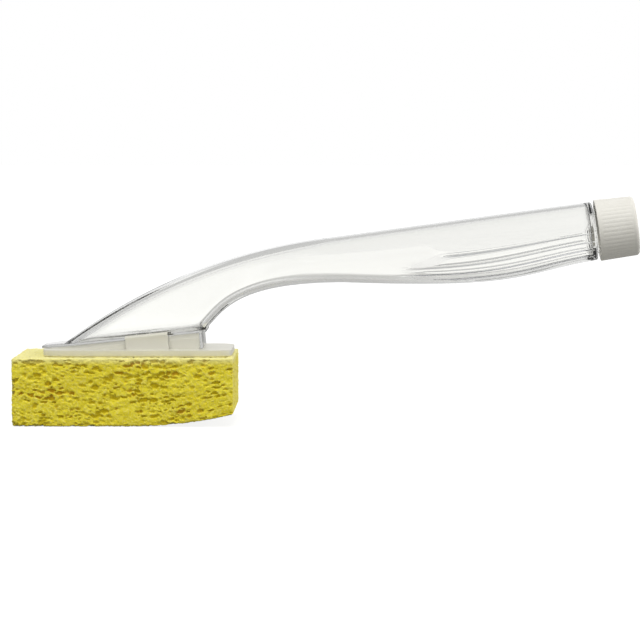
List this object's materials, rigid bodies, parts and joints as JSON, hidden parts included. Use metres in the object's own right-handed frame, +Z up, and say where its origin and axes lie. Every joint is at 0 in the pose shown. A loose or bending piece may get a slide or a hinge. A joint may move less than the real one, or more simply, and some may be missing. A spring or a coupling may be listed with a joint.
{
  "type": "dish sponge wand",
  "caption": "Clear hollow dish wand that holds washing-up liquid, with a ribbed screw cap and a yellow sponge head that slides off its foot.",
  "frame": {"origin": "on the sponge's flat scrubbing face, about below the middle of the sponge", "axes": "+X from the sponge towards the cap, +Z up away from the scrubbing face, even about Y = 0"},
  "size_m": [0.2484, 0.06, 0.0898],
  "materials": {
    "clear_plastic": "clear polished",
    "silicone": "soft satin",
    "cap_plastic": "satin",
    "liner_foam": "matte",
    "plate_plastic": "satin",
    "glue": "satin",
    "cellulose": "open pores"
  },
  "bodies": {
    "handle": {"handle_shell": "clear_plastic", "foot_plate": "clear_plastic", "outlet_valve": "silicone"},
    "head": {"head_plate": "plate_plastic", "bond_film": "glue", "sponge": "cellulose"},
    "liner": {"cap_liner": "liner_foam"},
    "cap": {"cap": "cap_plastic"}
  },
  "joints": [
    {"name": "handle_slide", "type": "slide", "parent": "head", "child": "handle", "axis": [0.9947, 0, 0.1028], "range_m": [0, 0.066]},
    {"name": "cap_rise", "type": "slide", "parent": "handle", "child": "liner", "axis": [0.9914, 0, 0.1305], "range_m": [0, 0.01429]},
    {"name": "cap_turn", "type": "hinge", "parent": "liner", "child": "cap", "pos_m": [0.1874, 0, 0.076], "axis": [0.9914, 0, 0.1305], "range_deg": [0, 1620]}
  ],
  "couplings": [
    {"joint": "cap_rise", "follows": "cap_turn", "m_per_rad": 0.00050532}
  ]
}
